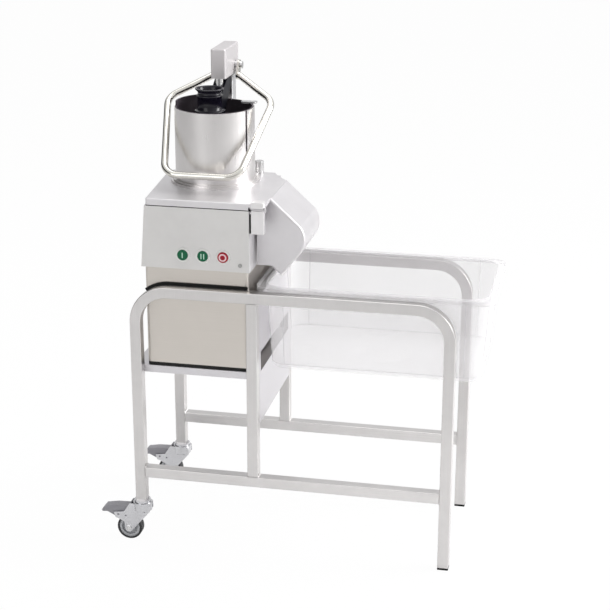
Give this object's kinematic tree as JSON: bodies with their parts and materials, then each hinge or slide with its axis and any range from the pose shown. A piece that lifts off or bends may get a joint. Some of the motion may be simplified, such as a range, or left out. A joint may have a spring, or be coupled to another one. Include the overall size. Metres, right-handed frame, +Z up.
{
  "type": "vegetable preparation machine",
  "caption": "Vegetable cutter on a wheeled stand: motor base, hinged head with hopper, pusher and loop handle, and a removable pan below the outlet chute.",
  "frame": {"origin": "middle of the bounding box on the floor", "axes": "+Z up, +X from the castors towards the food pan, -Y towards the operator's side with the control panel"},
  "size_m": [0.901, 0.379, 1.125],
  "materials": {
    "tube_steel": "brushed stainless square tube",
    "sheet_steel": "brushed stainless sheet",
    "base_steel": "brushed stainless casing",
    "cast_alloy": "satin cast alloy",
    "panel_grey": "satin light grey panel",
    "hopper_steel": "brushed stainless cylinder",
    "polished_steel": "polished round bar",
    "column_steel": "satin steel",
    "pusher_black": "glossy blue-black plastic",
    "block_steel": "satin steel cover",
    "black_plastic": "matt black plastic",
    "pan_white": "milky translucent plastic",
    "button_green": "glossy green",
    "button_red": "glossy red",
    "bezel_steel": "bright ring",
    "rubber_black": "black rubber",
    "zinc": "bright zinc-plated pressing",
    "pedal_grey": "grey plastic",
    "hub_grey": "light grey plastic",
    "tyre_black": "black tread",
    "motor_grey": "grey enamel",
    "machined_steel": "machined steel",
    "blade_steel": "ground blade"
  },
  "bodies": {
    "trolley": {"front_hoop": "tube_steel", "rear_hoop": "tube_steel", "front_lower_rail": "tube_steel", "rear_lower_rail": "tube_steel", "front_post": "tube_steel", "rear_post": "tube_steel", "splash_panel": "sheet_steel", "shelf": "sheet_steel", "edge_buffers": "rubber_black", "leg_caps": "rubber_black", "castor_stem_front": "zinc", "castor_stem_rear": "zinc", "base_casing": "base_steel", "base_plate": "sheet_steel", "base_skids": "black_plastic", "cable_gland": "black_plastic", "motor_body": "motor_grey", "shaft_bearings": "machined_steel", "housing": "cast_alloy", "control_panel": "panel_grey", "button_bezels": "bezel_steel", "panel_screw": "machined_steel", "latch_catch": "sheet_steel", "head_hinge_pin": "machined_steel"},
    "spindle": {"rotor_shaft": "machined_steel", "cooling_fan": "black_plastic", "ejector_plate": "column_steel", "slicing_disc": "machined_steel", "disc_blade": "blade_steel", "disc_nut": "machined_steel"},
    "head": {"head_casting": "cast_alloy", "hopper": "hopper_steel", "column_tube": "column_steel", "latch_pin": "machined_steel"},
    "latch": {"latch_bar": "cast_alloy"},
    "knob": {"clamp_knob": "machined_steel"},
    "carriage": {"column_rod": "machined_steel", "lever_block": "block_steel", "pivot_bolt": "machined_steel", "pusher_rod": "machined_steel", "pusher_arm": "pusher_black", "pusher_drum": "pusher_black", "feed_tube": "pusher_black", "rim_lug": "column_steel"},
    "handle": {"loop_handle": "polished_steel"},
    "low_button": {"button_start_low": "button_green"},
    "high_button": {"button_start_high": "button_green"},
    "stop_button": {"button_stop": "button_red"},
    "castor_front": {"castor_fork_front": "zinc", "castor_axle_front": "machined_steel"},
    "castor_rear": {"castor_fork_rear": "zinc", "castor_axle_rear": "machined_steel"},
    "wheel_front": {"wheel_hub_front": "hub_grey", "tyre_front": "tyre_black"},
    "wheel_rear": {"wheel_hub_rear": "hub_grey", "tyre_rear": "tyre_black"},
    "pedal_front": {"brake_pedal_front": "pedal_grey"},
    "pedal_rear": {"brake_pedal_rear": "pedal_grey"},
    "pan": {"food_pan": "pan_white"}
  },
  "joints": [
    {"name": "spindle_turn", "type": "hinge", "parent": "trolley", "child": "spindle", "pos_m": [-0.215, 0.03, 0.7], "axis": [0, 0, 1], "continuous": true},
    {"name": "head_open", "type": "hinge", "parent": "trolley", "child": "head", "pos_m": [-0.215, 0.178, 0.82], "axis": [-1, 0, 0], "range_deg": [0, 60]},
    {"name": "latch_swing", "type": "hinge", "parent": "head", "child": "latch", "pos_m": [-0.0705, -0.154, 0.8165], "axis": [-1, 0, 0], "range_deg": [0, 40]},
    {"name": "knob_turn", "type": "hinge", "parent": "head", "child": "knob", "pos_m": [-0.1301, 0.108, 0.845], "axis": [0, 0, 1], "range_deg": [0, 90]},
    {"name": "pusher_lift", "type": "slide", "parent": "head", "child": "carriage", "axis": [0, 0, 1], "range_m": [0, 0.17]},
    {"name": "handle_lift", "type": "hinge", "parent": "carriage", "child": "handle", "pos_m": [-0.215, 0.16, 1.075], "axis": [-1, 0, 0], "range_deg": [0, 50]},
    {"name": "low_press", "type": "slide", "parent": "trolley", "child": "low_button", "axis": [0, 1, 0], "range_m": [0, 0.003], "stiffness_N_per_m": 400},
    {"name": "high_press", "type": "slide", "parent": "trolley", "child": "high_button", "axis": [0, 1, 0], "range_m": [0, 0.003], "stiffness_N_per_m": 400},
    {"name": "stop_press", "type": "slide", "parent": "trolley", "child": "stop_button", "axis": [0, 1, 0], "range_m": [0, 0.003], "stiffness_N_per_m": 400},
    {"name": "castor_swivel_front", "type": "hinge", "parent": "trolley", "child": "castor_front", "pos_m": [-0.3525, -0.1675, 0.09], "axis": [0, 0, 1], "continuous": true},
    {"name": "wheel_roll_front", "type": "hinge", "parent": "castor_front", "child": "wheel_front", "pos_m": [-0.3835, -0.1675, 0.03], "axis": [0, 1, 0], "continuous": true},
    {"name": "brake_press_front", "type": "hinge", "parent": "castor_front", "child": "pedal_front", "pos_m": [-0.4085, -0.1675, 0.064], "axis": [0, -1, 0], "range_deg": [0, 10]},
    {"name": "castor_swivel_rear", "type": "hinge", "parent": "trolley", "child": "castor_rear", "pos_m": [-0.3525, 0.1675, 0.09], "axis": [0, 0, 1], "continuous": true},
    {"name": "wheel_roll_rear", "type": "hinge", "parent": "castor_rear", "child": "wheel_rear", "pos_m": [-0.3835, 0.1675, 0.03], "axis": [0, 1, 0], "continuous": true},
    {"name": "brake_press_rear", "type": "hinge", "parent": "castor_rear", "child": "pedal_rear", "pos_m": [-0.4085, 0.1675, 0.064], "axis": [0, -1, 0], "range_deg": [0, 10]},
    {"name": "pan_pull", "type": "slide", "parent": "trolley", "child": "pan", "axis": [1, 0, 0], "range_m": [0, 0.25]}
  ]
}
